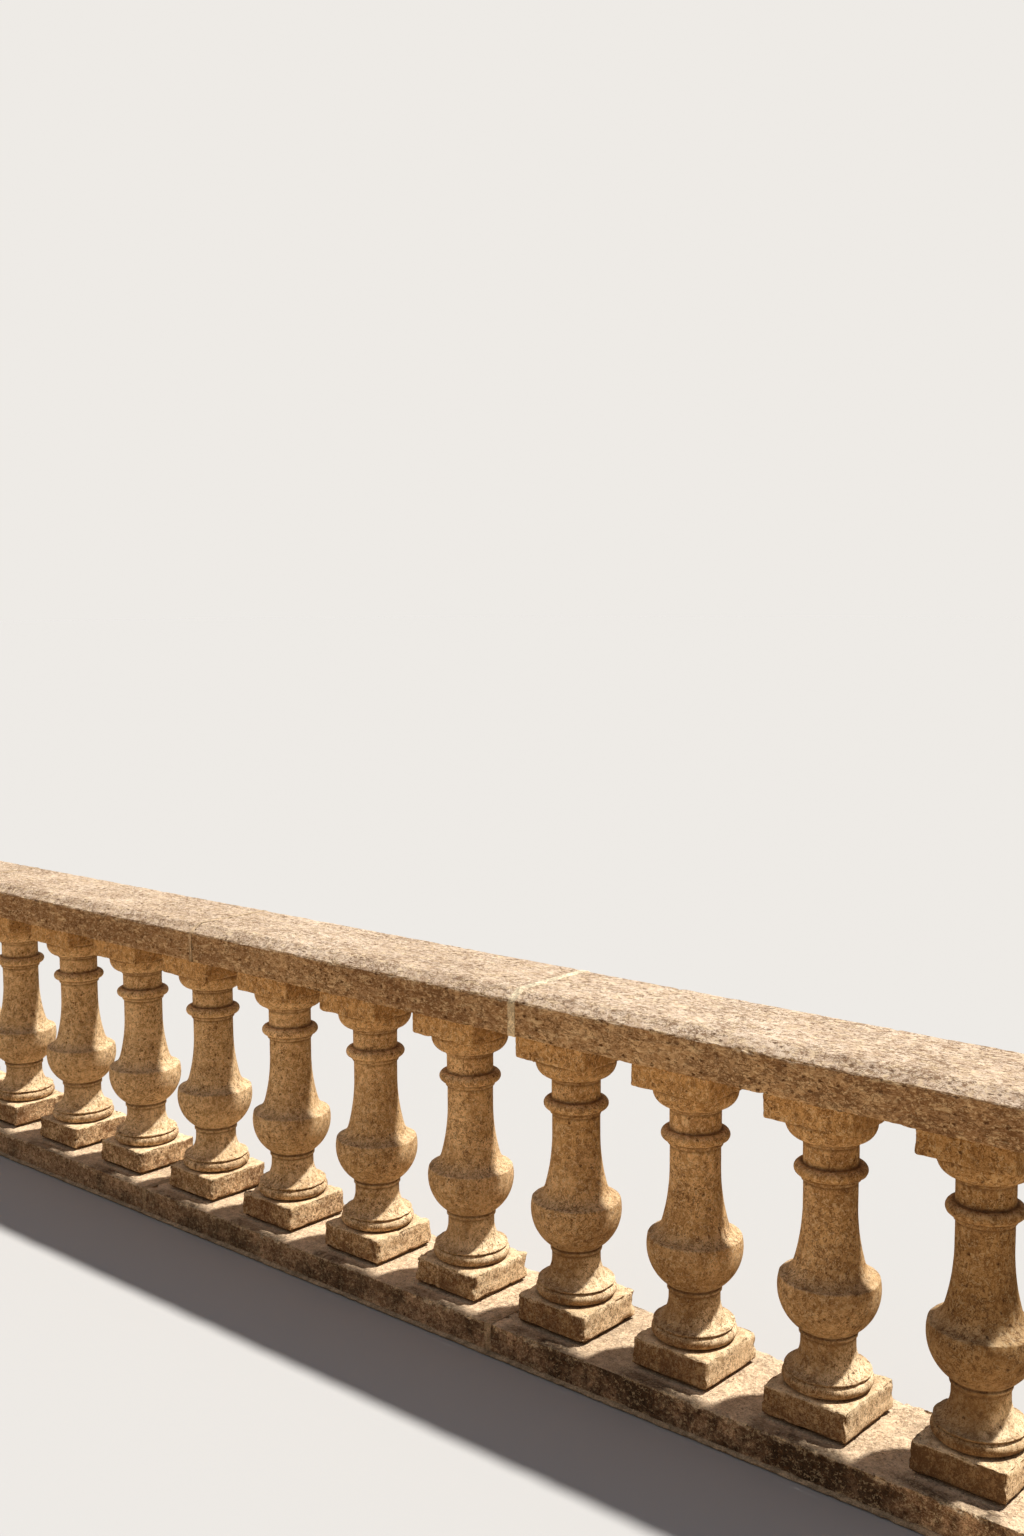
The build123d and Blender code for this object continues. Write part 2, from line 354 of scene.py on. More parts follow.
@node_group("Weathering", {"Geometry": None, **WEATHERING})
def weathering_group(graph, source, sink):
    """Wear a fine mesh down: round its arrises unevenly, knock chips off them, and pit its faces.

    Each point carries its distances to the nearest arris, "arris", and to the nearest one that
    crosses it, "corner", how sharp the arris is, "sharp", and the usual radius of the wear there,
    "wear". Nothing is ever moved outwards, and near an arris the way in is slanted, so that the two
    faces never cross. "worn" and "pit" tell the materials what was lost.
    """
    noise, ramp, plus, minus, times = graph.noise, graph.ramp, graph.plus, graph.minus, graph.times
    place = graph.add("GeometryNodeInputPosition")
    slanted = {"Value": graph.add("GeometryNodeInputNormal"), "Iterations": 10}
    outward = graph.add("GeometryNodeBlurAttribute", slanted, data_type="FLOAT_VECTOR")
    outward = graph.vectors("NORMALIZE", outward)
    seed = source["Seed"]
    arris, corner, sharp, wear = (graph.carried(name) for name in ("arris", "corner", "sharp", "wear"))

    radius = times(wear, ramp(noise(place, 24.0, 3.0, 0.6, seed), 0.28, 0.76, 0.25, 2.3))
    along_arris = times(rounded(graph, arris, radius), sharp)
    rounding = plus(along_arris, rounded(graph, corner, times(radius, source["Corner wear"])))

    broken = noise(place, 34.0, 4.0, 0.6, plus(seed, 7.0))
    threshold = minus(0.74, times(source["Chips"], 0.2))
    chipped = ramp(broken, threshold, plus(threshold, 0.06))
    at_arris = ramp(graph.maths("MINIMUM", arris, corner), 0.016, 0.001)
    chip = times(chipped, at_arris, sharp, times(wear, source["Chip depth"]))

    swell = noise(place, 8.0, 2.0, 0.5, plus(seed, 13.0))
    ripple = noise(place, 45.0, 3.0, 0.6, plus(seed, 17.0))
    uneven = times(source["Relief"], ramp(wear, 0.002, 0.007, 1.0, 2.0))
    relief = times(plus(swell, times(ripple, 0.6)), uneven)
    beds = noise(graph.vectors("MULTIPLY", place, (0.16, 1.0, 1.6)), 70.0, 3.0, 0.65, seed)
    bedding = times(ramp(beds, 0.35, 0.65), source["Bedding"])
    grit = times(noise(place, 170.0, 2.0, 0.7, seed), source["Grit"])

    holes, own = graph.cells(place, 44.0, plus(seed, 3.0))
    ragged = plus(holes, times(noise(place, 120.0, 2.0, 0.6, seed), 0.25))
    pitted = times(ramp(ragged, 0.42, 0.22), graph.maths("LESS_THAN", own, source["Pits"]))

    lost = plus(rounding, chip, relief, bedding, grit, times(pitted, source["Pit depth"]))
    lowest = graph.joined(-100.0, -100.0, source["Lowest"])
    moved = graph.vectors("ADD", place, graph.scaled(outward, times(lost, -1.0)))
    moved = graph.vectors("MAXIMUM", moved, lowest)
    worn = graph.maths("MULTIPLY", plus(rounding, chip), 1 / FULLY_WORN, clamp=True)
    shape = store(graph, source["Geometry"], "worn", worn)
    shape = store(graph, shape, "pit", pitted)
    shape = graph.add("GeometryNodeSetPosition", {"Geometry": shape, "Position": moved})
    graph.feed(sink["Geometry"], shape)


def rounded(graph, distance, radius):
    """How much a rounded arris has lost at some distance from where it was."""
    at_arris, tiny = 0.45, 1e-5
    inside = graph.maths("MAXIMUM", graph.minus(radius, distance), 0.0)
    share = graph.maths("DIVIDE", graph.times(inside, inside), graph.plus(radius, tiny))
    return graph.times(share, at_arris)


def weathered(graph, source, geometry):
    """Put the weathering group to work inside a larger tree."""
    inputs = {"Geometry": geometry, **{label: source[label] for label in WEATHERING}}
    return graph.group(weathering_group(), inputs)["Geometry"]


def finished(graph, source, sink, geometry):
    """The end of each tree: smooth shading, real geometry, and the material."""
    smooth = graph.add("GeometryNodeSetShadeSmooth", {"Geometry": geometry, "Shade Smooth": True})
    real = graph.add("GeometryNodeRealizeInstances", {"Geometry": smooth})
    done = graph.add("GeometryNodeSetMaterial", {"Geometry": real, "Material": source["Material"]})
    graph.feed(sink["Geometry"], done)


@node_group("Dressed stone", {"Geometry": None, **WEATHERING, "Material": None})
def dressed_stone_tree(graph, source, sink):
    """Weather the closed mesh of one straight stone."""
    finished(graph, source, sink, weathered(graph, source, source["Geometry"]))


@node_group("Turned stone", {
    "Geometry": None, "Segments": 96, "Corner crowding": 0.15, "Place": (0.0, 0.0, 0.0), "Count": 1,
    "Pitch": 0.33, **WEATHERING, "Material": None,
})
def turned_stone_tree(graph, source, sink):
    """Turn a half outline round its axis, square it where it is plinth or abacus, and weather it.

    The outline is a line of edges with X as the radius and -Y as the height. Its points carry "square",
    from 0 on a turned ring to 1 on a square one, and "side", which is 1 on the upright faces of the
    square blocks, whose four upright arrises the outline itself doesn't show. The same place node is
    read at each step, and gives the places as they are by then.
    """
    maths, vectors, plus, minus, times = graph.maths, graph.vectors, graph.plus, graph.minus, graph.times
    place = graph.add("GeometryNodeInputPosition")
    spot = graph.parts(place)
    outline = store(graph, source["Geometry"], "ring", spot["X"])
    outline = graph.add("GeometryNodeSetPosition", {"Geometry": outline, "Offset": (-1.0, 0.0, 0.0)})
    outline = graph.add("GeometryNodeMeshToCurve", {"Mesh": outline})

    circle = graph.add("GeometryNodeCurvePrimitiveCircle", {"Resolution": source["Segments"], "Radius": 1.0})
    angle = maths("ARCTAN2", spot["Y"], spot["X"])
    angle = plus(angle, times(maths("SINE", times(angle, 4.0)), source["Corner crowding"]))
    turned = graph.joined(maths("COSINE", angle), maths("SINE", angle))
    circle = graph.add("GeometryNodeSetPosition", {"Geometry": circle, "Position": turned})
    shape = graph.add("GeometryNodeCurveToMesh", {"Curve": circle, "Profile Curve": outline})
    shape = graph.add("GeometryNodeMergeByDistance", {"Geometry": shape, "Distance": 1e-5})

    flat = vectors("NORMALIZE", vectors("MULTIPLY", place, (1.0, 1.0, 0.0)))
    across = graph.parts(vectors("ABSOLUTE", flat))
    widest = maths("MAXIMUM", maths("MAXIMUM", across["X"], across["Y"]), 0.5)
    stretch = minus(maths("DIVIDE", 1.0, widest), 1.0)
    reach = times(graph.carried("ring"), plus(1.0, times(stretch, graph.carried("square"))))
    wide = vectors("MULTIPLY", flat, graph.joined(reach, reach))
    squared = vectors("ADD", wide, vectors("MULTIPLY", place, (0.0, 0.0, 1.0)))
    shape = graph.add("GeometryNodeSetPosition", {"Geometry": shape, "Position": squared})

    across = graph.parts(vectors("ABSOLUTE", place))
    off_corner = maths("ABSOLUTE", minus(across["X"], across["Y"]))
    shape = store(graph, shape, "corner", plus(off_corner, minus(1.0, graph.carried("side"))))
    row = {
        "Count": source["Count"], "Start Location": source["Place"], "Offset": graph.joined(source["Pitch"]),
    }
    row = graph.add("GeometryNodeMeshLine", row, mode="OFFSET")
    shape = graph.add("GeometryNodeInstanceOnPoints", {"Points": row, "Instance": shape})
    shape = graph.add("GeometryNodeRealizeInstances", {"Geometry": shape})
    finished(graph, source, sink, weathered(graph, source, shape))


@node_group("Mortar crumbs", {
    "Geometry": None, "Spacing": 0.004, "Share kept": 0.5, "Smallest": 0.0008, "Largest": 0.0024,
    "Spread": 0.002, "Seed": 0, "Material": None,
})
def crumbs_tree(graph, source, sink):
    """Crumbs of old mortar strewn along lines, each turned and sized at random."""
    place = graph.add("GeometryNodeInputPosition")
    spread, seed = source["Spread"], source["Seed"]
    back = graph.times(spread, -1.0)

    def chance(low, high, seed, kind="FLOAT_VECTOR"):
        """A vector or a number at random for each point."""
        first, output = (0, 0) if kind == "FLOAT_VECTOR" else (2, 1)
        inputs = {first: low, first + 1: high, "Seed": seed}
        return graph.add("FunctionNodeRandomValue", inputs, output, data_type=kind)

    line = graph.add("GeometryNodeMeshToCurve", {"Mesh": source["Geometry"]})
    line = graph.add("GeometryNodeResampleCurve", {"Curve": line, "Length": source["Spacing"]}, mode="LENGTH")
    points = graph.add("GeometryNodeCurveToPoints", {"Curve": line}, mode="EVALUATED")
    jump = chance(graph.joined(back, back), graph.joined(spread, spread), seed)
    points = graph.add("GeometryNodeSetPosition", {"Geometry": points, "Offset": jump})
    scarce = graph.minus(0.75, graph.times(source["Share kept"], 0.5))
    kept = graph.maths("GREATER_THAN", graph.noise(place, 22.0, 2.0, 0.6, 5.0), scarce)

    knobbly = graph.noise(place, 1.3, 1.0, 0.5, 2.0)
    bulge = graph.joined(
        graph.ramp(knobbly, 0.3, 0.7, 0.6, 1.1), graph.ramp(knobbly, 0.3, 0.7, 1.1, 0.7), 0.7
    )
    crumb = graph.add("GeometryNodeMeshIcoSphere", {"Radius": 1.0, "Subdivisions": 1})
    bulge = graph.vectors("MULTIPLY", place, bulge)
    crumb = graph.add("GeometryNodeSetPosition", {"Geometry": crumb, "Position": bulge})
    strewn = graph.add("GeometryNodeInstanceOnPoints", {
        "Points": points, "Selection": kept, "Instance": crumb,
        "Rotation": chance((0.0, 0.0, 0.0), (0.4, 0.4, 2.0 * math.pi), graph.plus(seed, 2.0)),
        "Scale": chance(source["Smallest"], source["Largest"], graph.plus(seed, 1.0), "FLOAT"),
    })
    finished(graph, source, sink, strewn)


def add_piece(name, nodes, seed_mesh, tree, values):
    """Grow a plain mesh from a seed mesh, and show it in place of the solids that it stands for."""
    seedling = bpy.data.objects.new("seedling", seed_mesh)
    bpy.context.scene.collection.objects.link(seedling)
    modifier = seedling.modifiers.new(tree.name, "NODES")
    modifier.node_group = tree
    for item in tree.interface.items_tree:
        if item.item_type == "SOCKET" and item.in_out == "INPUT" and item.name in values:
            modifier[item.identifier] = values[item.name]
    depsgraph = bpy.context.evaluated_depsgraph_get()
    mesh = bpy.data.meshes.new_from_object(
        seedling.evaluated_get(depsgraph), preserve_all_data_layers=True, depsgraph=depsgraph
    )
    seedling.modifiers.remove(modifier)
    bpy.data.objects.remove(seedling)
    bpy.data.meshes.remove(seed_mesh)
    mesh.name = name
    piece = bpy.data.objects.new(name, mesh)
    bpy.context.scene.collection.objects.link(piece)
    if nodes:
        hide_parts(*nodes)
    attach(piece, BODY)


def arc(centre, radii, start, end, steps):
    """Points of an arc or a quarter of an ellipse, with its angles in degrees."""
    angles = np.radians(np.linspace(start, end, steps + 1))
    return [(centre[0] + radii[0] * math.cos(a), centre[1] + radii[1] * math.sin(a)) for a in angles]


def circle_through(first, middle, last, steps):
    """Points of the arc from the first point through the middle one to the last."""
    (ax, ay), (bx, by), (cx, cy) = first, middle, last
    d = 2 * (ax * (by - cy) + bx * (cy - ay) + cx * (ay - by))
    a, b, c = ax * ax + ay * ay, bx * bx + by * by, cx * cx + cy * cy
    x = (a * (by - cy) + b * (cy - ay) + c * (ay - by)) / d
    y = (a * (cx - bx) + b * (ax - cx) + c * (bx - ax)) / d
    start = math.atan2(ay - y, ax - x)
    turn = (math.atan2(cy - y, cx - x) - start) % (2 * math.pi)
    half = (math.atan2(by - y, bx - x) - start) % (2 * math.pi)
    if half > turn:
        turn -= 2 * math.pi
    radius = math.hypot(ax - x, ay - y)
    angles = [start + turn * step / steps for step in range(steps + 1)]
    return [(x + radius * math.cos(t), y + radius * math.sin(t)) for t in angles]


def graded(length, fine, coarse, growth=1.8):
    """Places along a run, close together at both its ends and at most `coarse` apart between them."""
    if length < 1.5 * fine:
        return []
    ends = []
    place, gap = 0.0, fine
    while gap < coarse and place + gap < length * 0.4:
        place += gap
        ends.append(place)
        gap *= growth
    middle = length - 2 * place
    count = max(1, math.ceil(middle / coarse - 0.2))
    between = [place + middle * step / count for step in range(1, count)]
    return ends + between + [length - end for end in reversed(ends)]


# A distance that counts as nowhere near an arris
FAR = 1.0


class Outline:
    """A section made of runs that meet in arrises and hollow corners.

    Each run is a line of points and the widest spacing on it, drawn with the stone on its left.
    Arrises are softened a little. Every point knows how far it is, along the section, from the
    nearest arris and from the nearest hollow corner, and how sharp that arris is: 1 if it is square.
    """

    def __init__(self, runs, soft, fine, closed):
        runs = [(np.array(line, float), coarse) for line, coarse in runs]
        lengths = [np.linalg.norm(np.diff(line, axis=0), axis=1).sum() for line, _ in runs]
        turns = [self.turn(runs[index - 1][0], line) for index, (line, _) in enumerate(runs)]
        if not closed:
            turns[0] = 0.0
        points, along, offset = [], [], 0.0
        for index, (line, coarse) in enumerate(runs):
            length = lengths[index]
            following = turns[(index + 1) % len(runs)]
            trims = [min(soft, 0.3 * length) if turn > 0 else 0.0 for turn in (turns[index], following)]
            span = length - sum(trims)
            stops = [trims[0]] + [trims[0] + place for place in graded(span, fine, coarse)]
            if following > 0 or (not closed and index == len(runs) - 1):
                stops.append(length - trims[1])
            here = self.places(line, stops)
            if turns[index] > 0:
                before = points[-1] if points else self.places(runs[-1][0], [lengths[-1] - trims[0]])[0]
                points.append(0.25 * before + 0.5 * line[0] + 0.25 * here[0])
                along.append(offset)
            points.extend(here)
            along.extend(offset + stop for stop in stops)
            offset += length
        self.points, self.length, self.closed = np.array(points), offset, closed
        corners = np.concatenate([[0.0], np.cumsum(lengths)[:-1]])
        turns, along = np.array(turns), np.array(along)
        self.arris, which = self.nearest(along, corners[turns > 0])
        self.hollow, _ = self.nearest(along, corners[turns < 0])
        self.sharp = np.minimum(np.tan(turns[turns > 0][which] / 4) / math.tan(math.pi / 8), 1.0)

    @staticmethod
    def turn(before, after):
        """How sharply the section turns between two runs: positive round solid stone."""
        (ax, ay), (bx, by) = before[-1] - before[-2], after[1] - after[0]
        return math.atan2(ax * by - ay * bx, ax * bx + ay * by)

    @staticmethod
    def places(line, stops):
        """Points at some distances along a run."""
        reach = np.concatenate([[0.0], np.cumsum(np.linalg.norm(np.diff(line, axis=0), axis=1))])
        return [np.array([np.interp(stop, reach, line[:, axis]) for axis in (0, 1)]) for stop in stops]

    def nearest(self, along, corners):
        """Distance along the section from each point to the nearest of some corners, and which it is."""
        if not len(corners):
            return np.full(len(along), FAR), None
        apart = np.abs(along[:, None] - corners[None, :])
        if self.closed:
            apart = np.minimum(apart, self.length - apart)
        return apart.min(axis=1), apart.argmin(axis=1)


def write_attributes(mesh, values):
    """Put numbers on the points of a mesh."""
    for name, numbers in values.items():
        attribute = mesh.attributes.new(name, "FLOAT", "POINT")
        attribute.data.foreach_set("value", np.asarray(numbers, np.float32))


# How far in from the edge of a stone's end the rings that fill it lie
END_INSETS = (0.002, 0.005, 0.010, 0.018, 0.030)
# Below this height the arrises of a straight stone have the wear of its foot
FOOT_TOP = 0.03


def straight_mesh(outline, start, end, fine, coarse, usual_wear, foot_wear):
    """A straight stone along X: rings of its section, and ends that are filled by smaller rings."""
    section, count = outline.points, len(outline.points)
    low, high = section.min(axis=0), section.max(axis=0)
    middle, half = (low + high) / 2, (high - low) / 2
    insets = [inset for inset in END_INSETS if inset < 0.8 * half.min()]
    stations = [0.0] + graded(end - start, fine, coarse) + [end - start]
    rings = [(start, inset) for inset in reversed(insets)]
    rings += [(start + station, 0.0) for station in stations]
    rings += [(end, inset) for inset in insets]

    points, arris, corner, sharp = [], [], [], []
    for x, inset in rings:
        flat = middle + (section - middle) * (1 - inset / half)
        points.append(np.column_stack([np.full(count, x), flat]))
        arris.append(outline.arris if inset == 0.0 else np.full(count, inset))
        corner.append(np.full(count, min(x - start, end - x) if inset == 0.0 else FAR))
        sharp.append(outline.sharp if inset == 0.0 else np.ones(count))
    points.append([[start, *middle], [end, *middle]])
    arris.append([half.min()] * 2)
    corner.append([FAR] * 2)
    sharp.append([1.0] * 2)
    points = np.vstack(points)

    faces = []
    steps = [(step, (step + 1) % count) for step in range(count)]
    for ring in range(len(rings) - 1):
        a, b = ring * count, (ring + 1) * count
        faces += [(a + step, a + following, b + following, b + step) for step, following in steps]
    last = (len(rings) - 1) * count
    first_middle = len(rings) * count
    faces += [(first_middle, following, step) for step, following in steps]
    faces += [(first_middle + 1, last + step, last + following) for step, following in steps]

    mesh = bpy.data.meshes.new("straight stone")
    mesh.from_pydata(points.tolist(), [], faces)
    write_attributes(mesh, {
        "arris": np.concatenate(arris), "corner": np.concatenate(corner), "sharp": np.concatenate(sharp),
        "wear": np.where(points[:, 2] > FOOT_TOP, usual_wear, foot_wear),
    })
    return mesh


def run_round(corners, spacings):
    """Straight runs round a closed section."""
    following = corners[1:] + corners[:1]
    return [([here, there], spacing) for here, there, spacing in zip(corners, following, spacings)]


def kerb_runs(low, high):
    """Section of the kerb: its foot, its back, its top and its face."""
    corners = [(low.y, low.z), (high.y, low.z), (high.y, high.z), (low.y, high.z)]
    return run_round(corners, [0.030, 0.0048, 0.0065, 0.0042])


def rail_runs(low, high):
    """Section of the coping rail, with its two chamfers."""
    depth, rise = 0.035, 0.023
    left, right, foot, top = low.y, high.y, low.z, high.z
    corners = [
        (left, foot), (right, foot), (right, top - rise), (right - depth, top),
        (left + depth, top), (left, top - rise),
    ]
    return run_round(corners, [0.014, 0.0052, 0.0052, 0.0078, 0.0050, 0.0045])


def strip_runs(low, high):
    """Section of the mortar strip at the kerb's foot, which also reaches into the kerb."""
    lip, bite = 0.006, 0.008
    inner = high.y + bite
    corners = [(low.y, low.z), (inner, low.z), (inner, high.z), (high.y, high.z), (low.y, low.z + lip)]
    return run_round(corners, [0.010, 0.010, 0.008, 0.0035, 0.0030])


# For each kind of straight stone: how much its arrises are softened, the spacing beside an arris, and
# the closest and the widest spacing of its rings
DRAWN = {
    "kerb": (0.0015, 0.0024, 0.0022, 0.0058),
    "rail": (0.0015, 0.0024, 0.0020, 0.0052),
    "pointing": (0.0010, 0.0024, 0.0016, 0.0036),
    "strip": (0.0008, 0.0015, 0.0030, 0.0062),
}


def add_straight(nodes, prefix, kind, runs, wear, material, grow=(0.0, 0.0, 0.0), lap=0.0):
    """Draw a row of straight stones in their boxes, weather them, and show them in place of their solids.

    Each box is made larger on all its sides by `grow`, and longer by `lap` where another stone follows.
    """
    soft, fine, close, wide = DRAWN[kind]
    for number, node in enumerate(nodes):
        low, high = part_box(node)
        low, high = low - Vector(grow), high + Vector(grow)
        start = low.x - (lap if number > 0 else 0.0)
        end = high.x + (lap if number < len(nodes) - 1 else 0.0)
        outline = Outline(runs(low, high), soft, fine, closed=True)
        mesh = straight_mesh(outline, start, end, close, wide, *wear)
        values = {**weathering(kind, number), "Material": material}
        add_piece(prefix + node.split("_")[-1], [node], mesh, dressed_stone_tree(), values)


def baluster_outline(sizes):
    """Half outline of a baluster in radius and height, from the middle of its foot to that of its top."""
    (
        plinth_top, rim_foot, flare_foot, low_neck_foot, low_fillet_foot, groove_foot, belly_foot, shoulder,
        band_fillet_foot, band_foot, neck_foot, echinus_fillet_foot, echinus_foot, echinus_edge,
        abacus_foot, top,
    ) = accumulate((
        sizes.plinth_height, sizes.round_height, sizes.rim_height, sizes.flare_height,
        sizes.low_neck_height, sizes.low_fillet_height, sizes.groove_height, sizes.belly_height,
        sizes.shaft_height, sizes.band_fillet_height, sizes.band_height, sizes.neck_height,
        sizes.echinus_fillet_height, sizes.echinus_round, sizes.echinus_rise, sizes.abacus_height,
    ))
    usual, close, hidden = 0.0062, 0.0042, 0.045

    def to(radius, height, spacing=close):
        """A straight run to a point."""
        return [(radius, height)], spacing

    half_plinth, half_abacus = sizes.plinth_side / 2, sizes.abacus_side / 2
    round_bulge, band_bulge = sizes.round_height / 2, sizes.band_height / 2
    round_middle = (sizes.round_radius - round_bulge, plinth_top + round_bulge)
    band_middle = (sizes.band_radius - band_bulge, band_foot + band_bulge)
    flare = arc(
        (sizes.rim_radius, low_neck_foot), (sizes.rim_radius - sizes.low_neck_radius, sizes.flare_height),
        270, 180, 24,
    )
    belly = circle_through(
        (sizes.belly_foot_radius, belly_foot), (sizes.belly_radius, belly_foot + sizes.belly_middle),
        (sizes.shoulder_radius, shoulder), 60,
    )
    ovolo = arc(
        (sizes.echinus_foot_radius, echinus_edge),
        (sizes.echinus_radius - sizes.echinus_foot_radius, sizes.echinus_round), -90, 0, 24,
    )
    runs = [
        to(half_plinth, 0.0, hidden),
        to(half_plinth, plinth_top, usual),
        to(round_middle[0], plinth_top),
        (arc(round_middle, (round_bulge, round_bulge), -90, 90, 20), close),
        to(sizes.rim_radius, rim_foot),
        to(sizes.rim_radius, flare_foot),
        (flare + [(sizes.low_neck_radius, low_fillet_foot)], usual),
        to(sizes.low_fillet_radius, low_fillet_foot),
        to(sizes.low_fillet_radius, groove_foot),
        to(sizes.low_neck_radius, groove_foot),
        to(sizes.low_neck_radius, belly_foot),
        to(sizes.belly_foot_radius, belly_foot),
        (belly, usual),
        (shaft_path(sizes, shoulder, band_fillet_foot), usual),
        to(sizes.band_fillet_radius, band_fillet_foot),
        to(sizes.band_fillet_radius, band_foot),
        (arc(band_middle, (band_bulge, band_bulge), -90, 90, 20) + [(sizes.neck_radius, neck_foot)], close),
        to(sizes.neck_radius, echinus_fillet_foot, usual),
        to(sizes.echinus_fillet_radius, echinus_fillet_foot),
        to(sizes.echinus_fillet_radius, echinus_foot),
        (ovolo + [(sizes.echinus_radius, abacus_foot)], usual),
        to(half_abacus, abacus_foot),
        to(half_abacus, top, usual),
        to(0.0, top, hidden),
    ]
    return Outline(linked((0.0, 0.0), runs), 0.0012, 0.0020, closed=False), abacus_foot


def linked(start, runs):
    """Give each run the end of the one before it as its first point."""
    joined = []
    for line, spacing in runs:
        line = line if np.allclose(line[0], start) else [start] + line
        joined.append((line, spacing))
        start = line[-1]
    return joined


def shaft_path(sizes, shoulder, shaft_top):
    """The shaft, upwards: a tight hollow off the shoulder, a long hollow, and a straight top."""
    turn = math.radians(sizes.long_hollow_turn)
    reach = sizes.long_hollow_radius
    bend_top = shaft_top - sizes.shaft_straight
    bend_foot = (sizes.shaft_radius + reach * (1 - math.cos(turn)), bend_top - reach * math.sin(turn))
    run = (sizes.shoulder_radius - bend_foot[0], shoulder - bend_foot[1])
    side = (math.cos(turn), math.sin(turn))
    tight = (run[0] ** 2 + run[1] ** 2) / (2 * (run[0] * side[0] + run[1] * side[1]))
    centre = (bend_foot[0] + side[0] * tight, bend_foot[1] + side[1] * tight)
    start = math.degrees(math.atan2(shoulder - centre[1], sizes.shoulder_radius - centre[0])) % 360
    end = math.degrees(math.atan2(bend_foot[1] - centre[1], bend_foot[0] - centre[0])) % 360
    path = arc(centre, (tight, tight), start, end, 20)
    long_centre, long_start = (sizes.shaft_radius + reach, bend_top), 180 + sizes.long_hollow_turn
    path += arc(long_centre, (reach, reach), long_start, 180, 30)[1:]
    return path + [(sizes.shaft_radius, shaft_top)]


def outline_mesh(sizes, wear):
    """The baluster's half outline as a line of edges, with what the turning tree reads on its points."""
    outline, abacus_foot = baluster_outline(sizes)
    radius, height = outline.points[:, 0], outline.points[:, 1]
    half_plinth, half_abacus = sizes.plinth_side / 2, sizes.abacus_side / 2
    rim, slack, half_way, bed_height = 0.002, 1e-6, 0.3, 0.02

    def share_out(inner, outer):
        """How far each point lies from a turned edge out to a square one."""
        return np.clip((radius - inner) / (outer - rim - inner), 0, 1)

    plinth = share_out(sizes.round_radius - sizes.round_height / 2, half_plinth)
    abacus = share_out(sizes.echinus_radius, half_abacus)
    square = np.select([
        height < sizes.plinth_height - slack, height > abacus_foot + slack,
        np.abs(height - sizes.plinth_height) <= slack, np.abs(height - abacus_foot) <= slack,
    ], [1.0, 1.0, plinth, abacus], 0.0)
    low = height < half_way
    side = (square > 0.8) & (radius > np.where(low, sizes.plinth_side, sizes.abacus_side) / 2 - 0.0015)
    usual = np.where(square > 0.0, np.where(low, wear.plinth, wear.abacus), wear.moulding)
    usual = np.where(height < bed_height, wear.plinth_foot, usual)
    return line_mesh(outline, {"square": square, "side": side, "wear": usual})


def bed_outline_mesh(half, thickness):
    """Half outline of a square mortar bed."""
    hidden, close, worn = 0.045, 0.003, 0.003
    runs = [([(half, 0.0)], hidden), ([(half, thickness)], close), ([(0.0, thickness)], hidden)]
    outline = Outline(linked((0.0, 0.0), runs), 0.0010, 0.0025, closed=False)
    count = len(outline.points)
    side = outline.points[:, 0] > half - 0.001
    return line_mesh(outline, {"square": np.ones(count), "side": side, "wear": np.full(count, worn)})


def line_mesh(outline, values):
    """An outline as a line of edges, from its top down, as the turning tree takes it."""
    flat = [(x, -y, 0.0) for x, y in outline.points[::-1]]
    mesh = bpy.data.meshes.new("outline")
    mesh.from_pydata(flat, [(step, step + 1) for step in range(len(flat) - 1)], [])
    values = {"arris": outline.arris, "hollow": outline.hollow, "sharp": outline.sharp, **values}
    write_attributes(mesh, {name: numbers[::-1] for name, numbers in values.items()})
    return mesh


